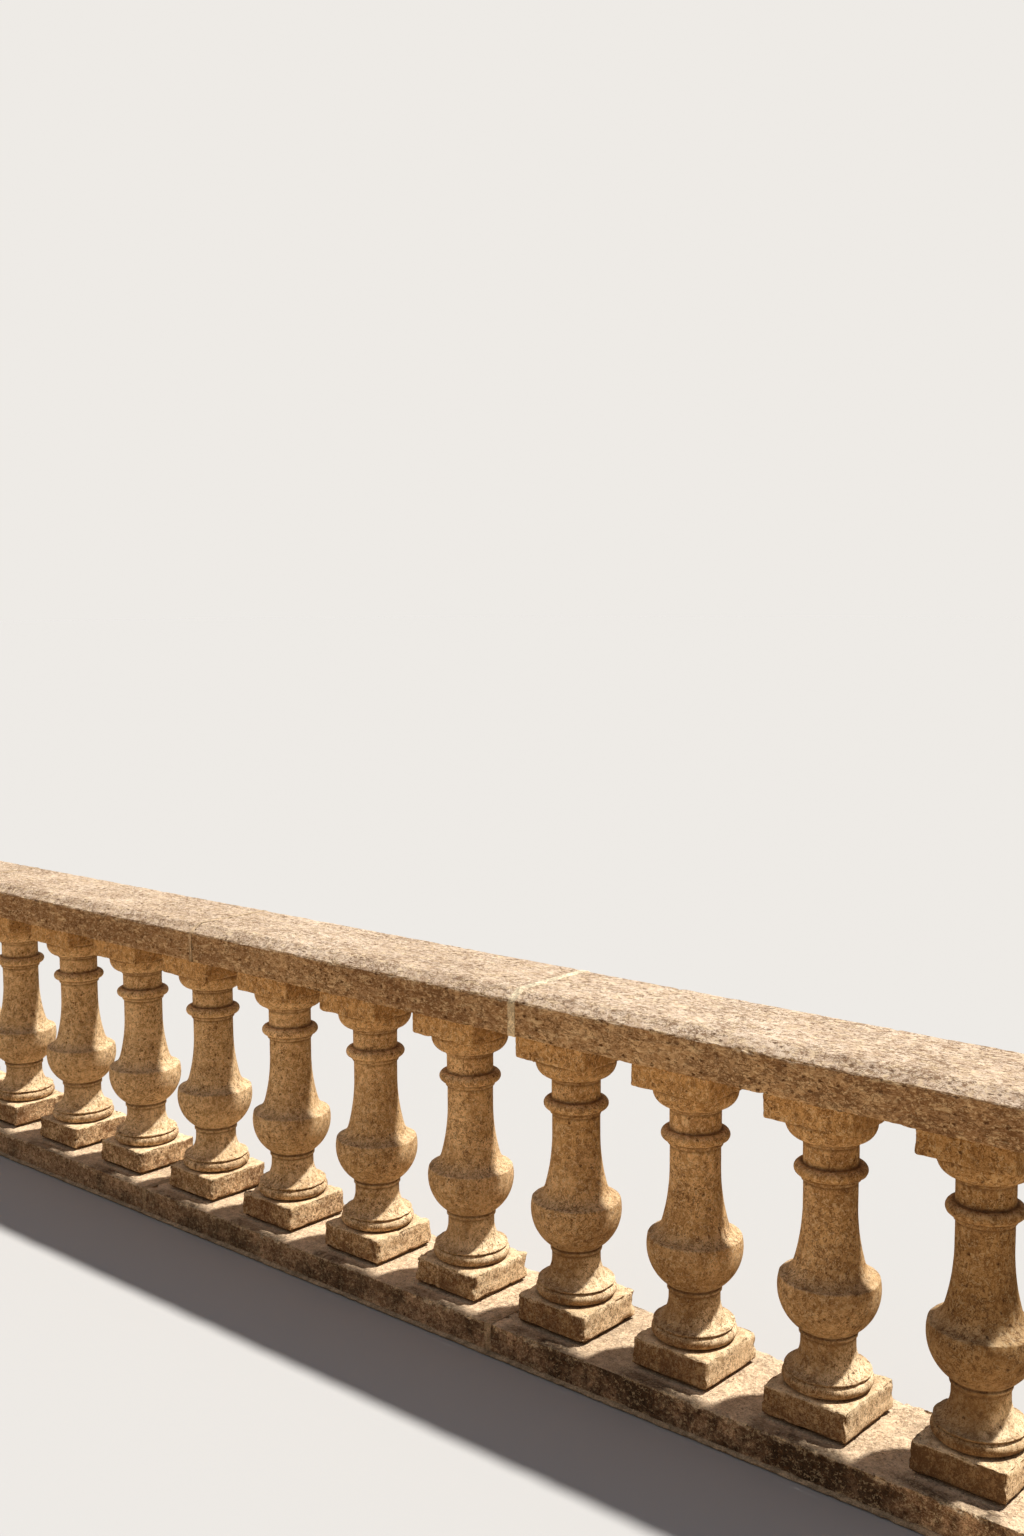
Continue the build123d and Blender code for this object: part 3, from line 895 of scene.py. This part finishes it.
@node_group(
    "Limestone grain", {"Vector": (0.0, 0.0, 0.0), "Scale": 1.0, "Cover": 0.5, "Pits": 0.3, "Seed": 0.0},
    "Mottle", "Specks", "Pits", "Flecks", "Height",
)
def grain_group(graph, source, sink):
    """Grain of a shelly limestone: soft mottling, curled dark and pale marks, ragged blots and open pits."""
    place, seed, scale = source["Vector"], source["Seed"], source["Scale"]
    ramp, plus, minus, times = graph.ramp, graph.plus, graph.minus, graph.times

    def clouds(frequency, detail, roughness, shift, distortion=0.0):
        """Noise on the scale of the grain."""
        frequency = times(scale, frequency)
        return graph.noise(place, frequency, detail, roughness, plus(seed, shift), distortion)

    def curls(frequency, width, shift, start):
        """Short curled marks: level lines of one noise, broken up by another."""
        away = graph.maths("ABSOLUTE", minus(clouds(frequency, 2.0, 0.55, shift, 0.7), 0.5))
        gaps = clouds(frequency * 0.9, 2.0, 0.5, shift + 9.0)
        return times(ramp(away, width, width * 0.45), ramp(gaps, start, start + 0.05))

    mottle = clouds(240.0, 4.0, 0.72, 0.0, 0.4)
    both = plus(times(mottle, 0.6), times(clouds(430.0, 2.0, 0.6, 1.0), 0.4))
    patches = times(minus(clouds(55.0, 3.0, 0.6, 17.0, 0.6), 0.5), 0.50)
    cover = times(source["Cover"], ramp(clouds(14.0, 2.0, 0.5, 2.0), 0.3, 0.7, 0.3, 1.0))

    edge = minus(0.650, times(cover, 0.09))
    blots = ramp(clouds(125.0, 5.0, 0.74, 7.0, 0.9), edge, plus(edge, 0.03))
    dashes = times(curls(105.0, 0.050, 3.0, 0.48), ramp(cover, 0.1, 0.8, 0.5, 1.0))
    specks = graph.maths("MAXIMUM", times(dashes, 0.85), blots)

    holes, own = graph.cells(place, times(scale, 82.0), seed)
    ragged = plus(holes, times(minus(mottle, 0.5), 0.9))
    pits = times(ramp(ragged, 0.28, 0.17), graph.maths("LESS_THAN", own, source["Pits"]))

    dark = graph.maths("MAXIMUM", times(specks, 0.7), pits)
    graph.feed(sink["Mottle"], ramp(plus(both, patches), 0.41, 0.59))
    graph.feed(sink["Specks"], specks)
    graph.feed(sink["Pits"], pits)
    graph.feed(sink["Flecks"], curls(115.0, 0.065, 5.0, 0.5))
    graph.feed(sink["Height"], minus(both, times(dark, 0.8)))


@node_group("Stone drift", {"Vector": (0.0, 0.0, 0.0), "Seed": 0.0}, "Tone", "Stain")
def drift_group(graph, source, sink):
    """Slow drift of tone over a stone: broad beds, cloudy patches, and stains where damp has stood."""
    place, seed = source["Vector"], source["Seed"]
    broad = graph.noise(place, 1.7, 2.0, 0.5, seed, 0.6)
    patch = graph.noise(place, 15.0, 4.0, 0.62, graph.plus(seed, 2.0), 0.4)
    both = graph.plus(graph.times(broad, 0.6), graph.times(patch, 0.4))
    graph.feed(sink["Tone"], graph.ramp(both, 0.34, 0.66))
    stain = graph.noise(place, 10.0, 6.0, 0.68, graph.plus(seed, 4.0), 0.8)
    graph.feed(sink["Stain"], graph.ramp(stain, 0.46, 0.60))


def new_material(name):
    """An empty material, its graph and its Principled BSDF."""
    material = bpy.data.materials.new(name)
    material.use_nodes = True
    return material, Graph(material.node_tree), material.node_tree.nodes["Principled BSDF"]


def surface(graph, shader, base, mottle, roughness, height, bump, specular):
    """The end of each stone's material: colour, roughness from dark grain to pale, relief and gloss."""
    strength, distance = bump
    relief = graph.add("ShaderNodeBump", {"Strength": strength, "Distance": distance, "Height": height})
    graph.feed(shader.inputs["Base Color"], base)
    graph.feed(shader.inputs["Roughness"], graph.ramp(mottle, 0.0, 1.0, *roughness))
    graph.feed(shader.inputs["Normal"], relief)
    shader.inputs["Specular IOR Level"].default_value = specular


# Bands of height, and of place along the row, over which the looks of the stones change, painted sunlight and
# painted shade among them
# Above the plinths, painted sunlight lies along the whole row
OVER_PLINTH = (0.185, 0.2)
# Below these heights foot dirt lies on faces out of the painted sunlight: partly dirt, partly painted shade
LOW_DOWN = (0.19, 0.13)
# Below these heights the balusters' faces turned to the key light get painted sunlight
LIT_FOOT = (0.36, 0.20)
# Painted shade under the rail, over the top of each baluster
UNDER_RAIL = (0.655, 0.705)
# Rising damp up to these heights on faces out of the painted sunlight: partly damp, partly painted shade
RISING_DAMP = (0.46, 0.14)
RUN_OFF = (0.005, 0.055)
# Heights over which the right-hand end of the row is darker
DARK_FOOT = (0.62, 0.30)
# Painted sunlight on the plinths fades out towards the left end of the row over this band
PAINTED_SUN_END = (-0.6, 0.5)
# Painted light towards the left end of the row, over this band
PAINTED_LIGHT_END = (0.9, -0.7)
# Place along the row past which it is darker
DARK_END = (1.36, 1.80)
# How far out from the row the kerb's ledge lies, and how near to a plinth's middle its painted shade and
# stain reach
LEDGE = (0.098, 0.116)
BY_PLINTH = (0.125, 0.080)
# Faces turned towards this side get painted sunlight on the balusters
PAINTED_SUN_SIDE = (0.8, 0.0, 0.6)

# What a stone has none of unless its look says so
NOTHING = dict.fromkeys((
    "patchy", "paler", "streaks", "ledge", "veins", "capped", "foot_dirt", "hollow", "damp", "grubby",
    "lines",
), 0.0)


def limestone(name, colours, **look):
    """One stone of the balustrade: its drift of tone, its grain, its wear, its bleaching and its dirt, and
    the sunlight and shade painted into its colour.
    """
    look = SimpleNamespace(**{**NOTHING, **look})
    material, graph, shader = new_material(name)
    maths, vectors, noise, ramp = graph.maths, graph.vectors, graph.noise, graph.ramp
    plus, minus, times = graph.plus, graph.minus, graph.times

    def swing(mask, start, end=1.0):
        """A factor that goes from start to end as a mask goes from 0 to 1."""
        return ramp(mask, 0.0, 1.0, start, end)

    def lay(share, tone):
        """Lay a colour over what is there already, as strongly as a mask says."""
        nonlocal base
        base = graph.blend(share, base, tone)

    place = graph.add("ShaderNodeTexCoord", output="Object")
    normal = graph.add("ShaderNodeNewGeometry", output="Normal")
    spot = graph.parts(place)
    along, level = spot["X"], spot["Z"]
    neglect = ramp(along, look.clean, look.dirty)
    upward = ramp(graph.parts(normal)["Z"], 0.2, 0.75)
    exposed = times(upward, ramp(graph.carried("wear"), 0.0015, 0.0045, 0.3, 1.0))
    # Painted sunlight: faces turned towards the key light are marked to be laid paler below, at the left end
    # only over the plinths
    painted_sun = ramp(vectors("DOT_PRODUCT", normal, PAINTED_SUN_SIDE, output="Value"), 0.45, 0.90)
    painted_sun = times(painted_sun, maths("MAXIMUM", ramp(along, *PAINTED_SUN_END), ramp(level, *OVER_PLINTH)))
    # Faces out of the bleaching and the painted sunlight; the foot dirt and damp below are laid only here, so
    # they are partly painted shade
    shaded = minus(1.0, maths("MAXIMUM", exposed, painted_sun))
    # Low down on faces out of the painted sunlight: foot dirt and partly painted shade, which also adds
    # specks, a deeper tint and stain
    low_down = times(ramp(level, *LOW_DOWN), look.foot_dirt, shaded)
    drift = graph.group(drift_group(), {"Vector": place, "Seed": look.seed})
    grain = graph.group(grain_group(), {
        "Vector": vectors("MULTIPLY", place, look.stretch), "Scale": look.scale,
        "Cover": plus(look.cover, low_down), "Pits": look.pits, "Seed": look.seed,
    })

    base = graph.blend(ramp(drift["Tone"], look.patchy, 1.0 - look.patchy), look.deep, look.stone)
    # Painted light: the left end of the row laid paler, standing for more light falling there
    lay(times(ramp(along, *PAINTED_LIGHT_END), look.paler), colours.fleck_and_painted_light)
    lay(times(drift["Stain"], times(swing(neglect, 0.4), look.stain)), look.stain_colour)
    # Painted shade under the rail: the tops of the balusters laid in the browner tone
    lay(times(ramp(level, *UNDER_RAIL), look.capped), look.deep)
    # Foot dirt in the stain colour on faces out of the painted sunlight: partly dirt, partly painted shade
    lay(times(low_down, swing(drift["Stain"], 0.42)), look.stain_colour)
    if look.streaks > 0:
        runs = noise(vectors("MULTIPLY", place, (1.0, 1.0, 0.6)), 26.0, 5.0, 0.65, 3.0, 0.5)
        runs = times(ramp(runs, 0.46, 0.60), ramp(level, *RUN_OFF, 0.35, 1.0), swing(neglect, 0.3))
        lay(times(runs, look.streaks), look.stain_colour)

    # Bleaching on up-facing stone, and on the balusters painted sunlight low down on the faces turned to the
    # key light
    bleach_and_painted_sun = times(exposed, look.bleach, swing(drift["Tone"], 0.7))
    if look.foot_dirt > 0:
        bleach_and_painted_sun = maths("MAXIMUM", bleach_and_painted_sun, times(painted_sun, ramp(level, *LIT_FOOT, 0.0, 0.9)))
    lay(bleach_and_painted_sun, look.bleached)
    # A dark band on the kerb's ledge in front of each plinth: partly stain, partly painted shade
    if look.ledge > 0:
        first, last = centre(BALUSTERS[0]).x, centre(BALUSTERS[-1]).x
        pitch = (last - first) / (len(BALUSTERS) - 1)
        from_plinth = maths("PINGPONG", minus(along, first), pitch / 2)
        ledge = times(ramp(times(spot["Y"], -1.0), *LEDGE), upward, ramp(from_plinth, *BY_PLINTH))
        lay(times(ledge, swing(drift["Stain"], 0.55), look.ledge), look.stain_colour)

    # Pale worn arrises: fresher stone where an arris wore, set strong on the kerb, where it is also a painted
    # highlight along its arrises
    broken = times(graph.carried("worn"), ramp(grain["Mottle"], 0.2, 0.8, 0.5, 1.0))
    lay(times(broken, look.worn), colours.fleck_and_painted_light)
    washed = ramp(exposed, 0.3, 0.9, 1.0, look.washed)
    tint = graph.blend(grain["Mottle"], look.dark_tint, look.pale_tint)
    # Deeper tint low down on faces out of the painted sunlight: partly dirt, partly painted shade
    tint = graph.blend(low_down, tint, vectors("MULTIPLY", tint, tint))
    lay(washed, vectors("MULTIPLY", base, tint))
    lay(times(grain["Flecks"], look.flecks), colours.fleck_and_painted_light)
    if look.veins > 0:
        bedded = vectors("MULTIPLY", place, (0.28, 1.0, 1.0))
        pale_vein = ramp(noise(bedded, 85.0, 3.0, 0.6, 11.0, 0.5), 0.56, 0.66)
        dark_vein = ramp(noise(bedded, 140.0, 3.0, 0.62, 13.0, 0.7), 0.60, 0.64)
        lay(times(pale_vein, look.veins), colours.fleck_and_painted_light)
        lay(times(dark_vein, look.veins), colours.speck)
    lay(times(grain["Specks"], look.specks, washed), colours.speck)
    pits = maths("MAXIMUM", grain["Pits"], times(graph.carried("pit"), 0.7))
    lay(times(pits, look.pit_depth, washed), colours.pit)

    # Darker towards the right-hand end of the row and low down, less where the bleached or painted sunlit
    # colour lies
    if look.grubby > 0:
        far_end = times(ramp(along, *DARK_END), ramp(level, *DARK_FOOT, 0.6, 1.0))
        far_end = times(far_end, minus(look.grubby, bleach_and_painted_sun, clamp=True))
        lay(far_end, vectors("MULTIPLY", base, (0.50, 0.47, 0.42)))
    # Darker in the hollow corners of the outline: partly grime, partly painted shade
    if look.hollow > 0:
        near = ramp(graph.carried("hollow"), 0.009, 0.0005)
        lay(times(near, swing(drift["Tone"], 1.0, 0.6), look.hollow), colours.grime_and_painted_shade)
    # Rising damp on faces out of the painted sunlight: partly damp stain, partly painted shade
    if look.damp > 0:
        reach = plus(level, times(minus(drift["Tone"], 0.5), 0.06))
        rising = times(ramp(reach, *RISING_DAMP), look.damp, shaded, swing(neglect, 0.1))
        lay(rising, colours.grime_and_painted_shade)
    height = grain["Height"]
    if look.lines > 0:
        lathe = vectors("MULTIPLY", place, (0.05, 0.05, 1.0))
        height = plus(height, times(noise(lathe, 380.0, 2.0, 0.6, look.seed), look.lines))
    surface(graph, shader, base, grain["Mottle"], (0.98, 0.84), height, (look.bump, 0.0016), 0.2)
    return material


def baluster_material(colours):
    """Warm turned limestone, finely specked, with the marks of the lathe, dirt and painted shade in its
    hollows and under the rail, and painted sunlight on the faces turned to the key light.
    """
    return limestone(
        "Turned limestone", colours, seed=1.0, stone=colours.baluster, deep=colours.baluster_deep_and_rail_shade,
        stain=0.30, stain_colour=(0.30, 0.17, 0.085), clean=-0.2, dirty=1.1, paler=0.33, capped=1.0,
        bleach=0.95, bleached=colours.bleached, washed=0.7, foot_dirt=0.95, hollow=0.75, damp=0.44,
        grubby=0.95, stretch=(1.0, 1.0, 0.9), scale=1.0, cover=1.0, specks=0.85, pits=0.12,
        pit_depth=0.75, dark_tint=(0.74, 0.68, 0.61), pale_tint=(1.26, 1.30, 1.36), flecks=0.58,
        worn=0.30, lines=0.45, bump=0.55,
    )


def rail_material(colours):
    """Greyer, coarser limestone of the coping, full of brown pits, and bleached on top."""
    return limestone(
        "Coping limestone", colours, seed=8.0, stone=colours.rail, deep=colours.rail_deep,
        stain=0.25, stain_colour=(0.26, 0.16, 0.09), clean=-0.7, dirty=1.1,
        bleach=0.90, bleached=colours.rail_top, washed=0.85, veins=0.5,
        stretch=(0.62, 1.0, 1.1), scale=1.0, cover=1.5, specks=0.85, pits=0.30,
        pit_depth=0.85, dark_tint=(0.78, 0.70, 0.64), pale_tint=(1.22, 1.26, 1.32), flecks=0.50,
        worn=0.45, bump=0.8,
    )


def kerb_material(colours):
    """Dark, stained and gritty limestone of the kerb, cleaner on its top, with stain and painted shade on the
    ledge in front of each plinth, and pale along its worn arris, partly fresh stone and partly a painted
    highlight.
    """
    return limestone(
        "Kerb limestone", colours, seed=6.0, stone=colours.kerb, deep=colours.kerb_deep, patchy=0.22,
        stain=0.52, stain_colour=(0.055, 0.034, 0.020), clean=0.64, dirty=0.68, paler=0.12,
        bleach=0.92, bleached=colours.kerb_top, washed=0.5, streaks=0.8, ledge=0.8,
        stretch=(0.85, 1.0, 1.0), scale=1.1, cover=1.5, specks=0.70, pits=0.30,
        pit_depth=0.8, dark_tint=(0.60, 0.54, 0.50), pale_tint=(1.34, 1.36, 1.40), flecks=0.50,
        worn=0.85, bump=1.0,
    )


def mortar_material(name, main, spots):
    """Lime mortar: a sandy grain with darker sand in it."""
    material, graph, shader = new_material(name)
    place = graph.add("ShaderNodeTexCoord", output="Object")
    grain = {"Vector": place, "Scale": 1.5, "Cover": 0.7, "Pits": 0.2, "Seed": 8.0}
    grain = graph.group(grain_group(), grain)
    cloud = graph.ramp(graph.noise(place, 35.0, 4.0, 0.6, 2.0), 0.35, 0.65)
    base = graph.blend(cloud, main, [part * 0.68 for part in main])
    base = graph.scaled(base, graph.ramp(grain["Mottle"], 0.0, 1.0, 0.75, 1.25))
    base = graph.blend(graph.times(grain["Specks"], 0.55), base, spots)
    surface(graph, shader, base, grain["Mottle"], (1.0, 0.9), grain["Height"], (0.9, 0.0014), 0.15)
    return material


def centre(node):
    """Middle of a node's box."""
    low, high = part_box(node)
    return (low + high) / 2


class BALUSTRADE_OT_balusters(bpy.types.Operator):
    """Turn and weather each baluster"""

    bl_idname = "balustrade.add_balusters"
    bl_label = "Add Balusters"
    bl_options = {"REGISTER", "UNDO"}

    def execute(self, context):
        chosen = settings()
        material = baluster_material(chosen.colours)
        for number, node in enumerate(BALUSTERS):
            low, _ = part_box(node)
            middle = centre(node)
            mesh = outline_mesh(chosen.baluster, chosen.wear)
            add_piece("turned_" + node, [node], mesh, turned_stone_tree(), {
                "Segments": chosen.baluster.segments, "Place": (middle.x, middle.y, low.z), "Count": 1,
                **weathering("baluster", number), "Material": material,
            })
        return {"FINISHED"}


class BALUSTRADE_OT_kerb(bpy.types.Operator):
    """Dress and weather the base stones of the kerb"""

    bl_idname = "balustrade.add_kerb"
    bl_label = "Add Kerb Stones"
    bl_options = {"REGISTER", "UNDO"}

    def execute(self, context):
        chosen = settings()
        wear = (chosen.wear.kerb, chosen.wear.kerb_foot)
        material = kerb_material(chosen.colours)
        add_straight(BASE_STONES, "kerb_stone_", "kerb", kerb_runs, wear, material)
        return {"FINISHED"}


class BALUSTRADE_OT_rail(bpy.types.Operator):
    """Dress and weather the stones of the coping rail"""

    bl_idname = "balustrade.add_rail"
    bl_label = "Add Rail Stones"
    bl_options = {"REGISTER", "UNDO"}

    def execute(self, context):
        chosen = settings()
        wear = (chosen.wear.rail, chosen.wear.rail)
        material = rail_material(chosen.colours)
        add_straight(RAIL_STONES, "coping_stone_", "rail", rail_runs, wear, material)
        return {"FINISHED"}


class BALUSTRADE_OT_joints(bpy.types.Operator):
    """Point the upright joints of the kerb and of the rail with pale mortar"""

    bl_idname = "balustrade.add_joints"
    bl_label = "Add Joint Mortar"
    bl_options = {"REGISTER", "UNDO"}

    def execute(self, context):
        tones, worn = settings().colours, settings().wear
        rail = ("pointing_rail_joint_", rail_runs, worn.rail)
        kerb = ("pointing_base_joint_", kerb_runs, worn.kerb)
        for nodes, (prefix, runs, wear), label, tone, smear, swell in (
            (RAIL_JOINTS[:2], rail, "Old rail pointing", tones.old_joint, 0.003, 0.0010),
            (RAIL_JOINTS[2:], rail, "Rail pointing", tones.joint, 0.008, 0.0010),
            (BASE_JOINTS, kerb, "Kerb pointing", tones.kerb_joint, 0.007, 0.0018),
        ):
            material, grow = mortar_material(label, tone, tones.grime_and_painted_shade), (smear, swell, swell)
            add_straight(nodes, prefix, "pointing", runs, (wear, wear), material, grow)
        return {"FINISHED"}


class BALUSTRADE_OT_foot_strip(bpy.types.Operator):
    """Lay the rough mortar strip along the foot of the kerb"""

    bl_idname = "balustrade.add_foot_strip"
    bl_label = "Add Foot Strip"
    bl_options = {"REGISTER", "UNDO"}

    def execute(self, context):
        tones = settings().colours
        material = mortar_material("Foot mortar", tones.foot, tones.grime_and_painted_shade)
        wear = (0.002, 0.002)
        add_straight(
            FOOT_STRIPS, "ragged_foot_strip_", "strip", strip_runs, wear, material, lap=0.008
        )
        return {"FINISHED"}


class BALUSTRADE_OT_beds(bpy.types.Operator):
    """Bed the plinths and the rail on dark mortar, and strew crumbs of it round the plinths"""

    bl_idname = "balustrade.add_beds"
    bl_label = "Add Mortar Beds"
    bl_options = {"REGISTER", "UNDO"}

    def execute(self, context):
        chosen = settings()
        tones = chosen.colours
        material = mortar_material("Bed mortar", tones.bed, tones.grime_and_painted_shade)
        pitch = centre(BALUSTERS[1]).x - centre(BALUSTERS[0]).x
        sunk = 0.002
        for number, node in enumerate(PLINTH_BEDS + ABACUS_BEDS):
            low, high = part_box(node)
            half, thickness = (high.y - low.y) / 2, high.z - low.z
            mesh = bed_outline_mesh(half, thickness + 2 * sunk)
            add_piece("ragged_" + node, [node], mesh, turned_stone_tree(), {
                "Segments": 48, "Place": (low.x + half, (low.y + high.y) / 2, low.z - sunk),
                "Count": BAY, "Pitch": pitch, **weathering("bed", number), "Material": material,
            })
        material = mortar_material("Crumbs of mortar", tones.joint, tones.grime_and_painted_shade)
        for number in range(len(PLINTH_BEDS)):
            name = "crumbs_" + str(number + 1)
            add_piece(name, [], foot_lines(number), crumbs_tree(), {
                "Spacing": 0.0055, "Share kept": 0.5, "Smallest": 0.0008, "Largest": 0.0022,
                "Spread": 0.003, "Seed": chosen.wear.seed + number, "Material": material,
            })
        return {"FINISHED"}


def foot_lines(bay):
    """Lines along the front and the sides of the plinths of one bay, just above the kerb's top."""
    low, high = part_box(BALUSTERS[0])
    inset, height = 0.002, 0.0752
    half = (high.y - low.y) / 2 - inset
    points, edges = [], []
    for node in BALUSTERS[BAY * bay: BAY * bay + BAY]:
        middle = centre(node)
        first = len(points)
        for x, y in ((-half, half), (-half, -half), (half, -half), (half, half)):
            points.append((middle.x + x, middle.y + y, height))
        edges += [(first + step, first + step + 1) for step in range(3)]
    mesh = bpy.data.meshes.new("foot_lines")
    mesh.from_pydata(points, edges, [])
    return mesh


class BALUSTRADE_OT_stage(bpy.types.Operator):
    """Set the floor, the lights and the camera"""

    bl_idname = "balustrade.add_stage"
    bl_label = "Add Stage"
    bl_options = {"REGISTER", "UNDO"}

    def execute(self, context):
        floor()
        studio()
        camera()
        return {"FINISHED"}


def floor():
    """A plain pale floor that throws warm light on the stones from the front, and less from behind."""
    reach = 150.0
    corners = [(-reach, -reach, 0), (reach, -reach, 0), (reach, reach, 0), (-reach, reach, 0)]
    mesh = bpy.data.meshes.new("floor")
    mesh.from_pydata(corners, [], [(0, 1, 2, 3)])
    plane = bpy.data.objects.new("floor", mesh)
    bpy.context.scene.collection.objects.link(plane)
    material, graph, shader = new_material("Pale floor")
    seen = graph.add("ShaderNodeLightPath", output="Is Camera Ray")
    place = graph.add("ShaderNodeTexCoord", output="Object")
    behind = graph.ramp(graph.parts(place)["Y"], 0.1, 0.6)
    bounced = graph.blend(behind, (0.60, 0.455, 0.30), (0.20, 0.155, 0.10))
    graph.feed(shader.inputs["Base Color"], graph.blend(seen, bounced, (0.5175, 0.526, 0.5457)))
    shader.inputs["Roughness"].default_value = 0.95
    shader.inputs["Specular IOR Level"].default_value = 0.0
    mesh.materials.append(material)


def studio():
    """A soft warm key from high on the right behind the row, and an even pale surround."""
    world = bpy.data.worlds.new("Studio")
    world.use_nodes = True
    graph = Graph(world.node_tree)
    background = world.node_tree.nodes["Background"]
    seen = graph.add("ShaderNodeLightPath", output="Is Camera Ray")
    toward = graph.parts(graph.add("ShaderNodeTexCoord", output="Generated"))
    soft = graph.blend(graph.ramp(toward["Z"], 0.0, 0.9), (1.0, 0.76, 0.52), (0.86, 0.90, 1.0))
    soft = graph.scaled(soft, graph.maths("MULTIPLY_ADD", toward["X"], -0.65, 1.0))
    graph.feed(background.inputs["Color"], graph.blend(seen, soft, (0.93, 0.90, 0.86)))
    graph.feed(background.inputs["Strength"], graph.ramp(seen, 0.0, 1.0, 0.26, 0.92))
    bpy.context.scene.world = world
    key = bpy.data.lights.new("key", "SUN")
    key.energy = 5.0
    key.angle = math.radians(3.0)
    key.color = (1.0, 0.95, 0.86)
    lamp = bpy.data.objects.new("key", key)
    lamp.location = (3.0, 1.6, 4.0)
    toward_sun = Vector((0.28, 0.345, 0.875))
    lamp.rotation_euler = toward_sun.to_track_quat("Z", "Y").to_euler()
    bpy.context.scene.collection.objects.link(lamp)
    bpy.context.scene.view_settings.view_transform = "Standard"


def camera():
    """A camera at the height of an eye, looking left along the row, as the photograph was taken."""
    image_height = 1536.0
    focal_pixels = 1605.4
    yaw, pitch, roll = math.radians(41.357), math.radians(5.899), math.radians(-0.303)
    place = Vector((3.056, -2.767, 1.728))
    forward = Vector((-math.sin(yaw) * math.cos(pitch), math.cos(yaw) * math.cos(pitch), -math.sin(pitch)))
    level = Vector((math.cos(yaw), math.sin(yaw), 0.0))
    upward = level.cross(forward)
    right = level * math.cos(roll) + upward * math.sin(roll)
    up = upward * math.cos(roll) - level * math.sin(roll)
    data = bpy.data.cameras.new("camera")
    data.sensor_width = 36.0
    data.lens = focal_pixels / image_height * data.sensor_width
    data.clip_end = 200.0
    eye = bpy.data.objects.new("camera", data)
    turn = Matrix((right, up, -forward)).transposed()
    eye.matrix_world = Matrix.Translation(place) @ turn.to_4x4()
    bpy.context.scene.collection.objects.link(eye)
    bpy.context.scene.camera = eye


OPERATORS = (
    BALUSTRADE_OT_kerb,
    BALUSTRADE_OT_foot_strip,
    BALUSTRADE_OT_beds,
    BALUSTRADE_OT_balusters,
    BALUSTRADE_OT_rail,
    BALUSTRADE_OT_joints,
    BALUSTRADE_OT_stage,
)


class BALUSTRADE_PT_sidebar(bpy.types.Panel):
    """Sizes, colours and steps of the balustrade"""

    bl_label = "Stone Balustrade"
    bl_idname = "BALUSTRADE_PT_sidebar"
    bl_space_type = "VIEW_3D"
    bl_region_type = "UI"
    bl_category = "Balustrade"

    def draw(self, context):
        chosen = context.scene.balustrade
        for operator in OPERATORS:
            self.layout.operator(operator.bl_idname)
        for group in (chosen.wear, chosen.colours, chosen.baluster):
            box = self.layout.box()
            for name in group.__annotations__:
                box.prop(group, name)


CLASSES = (
    BALUSTRADE_PG_baluster,
    BALUSTRADE_PG_wear,
    BALUSTRADE_PG_colours,
    BALUSTRADE_PG_settings,
    *OPERATORS,
    BALUSTRADE_PT_sidebar,
)


def register():
    for each in CLASSES:
        bpy.utils.register_class(each)
    bpy.types.Scene.balustrade = PointerProperty(type=BALUSTRADE_PG_settings)


def unregister():
    del bpy.types.Scene.balustrade
    for each in reversed(CLASSES):
        bpy.utils.unregister_class(each)


def main():
    """Build the whole scene."""
    register()
    bpy.ops.balustrade.add_kerb()
    bpy.ops.balustrade.add_foot_strip()
    bpy.ops.balustrade.add_beds()
    bpy.ops.balustrade.add_balusters()
    bpy.ops.balustrade.add_rail()
    bpy.ops.balustrade.add_joints()
    bpy.ops.balustrade.add_stage()
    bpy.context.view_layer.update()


if __name__ == "__main__":
    main()
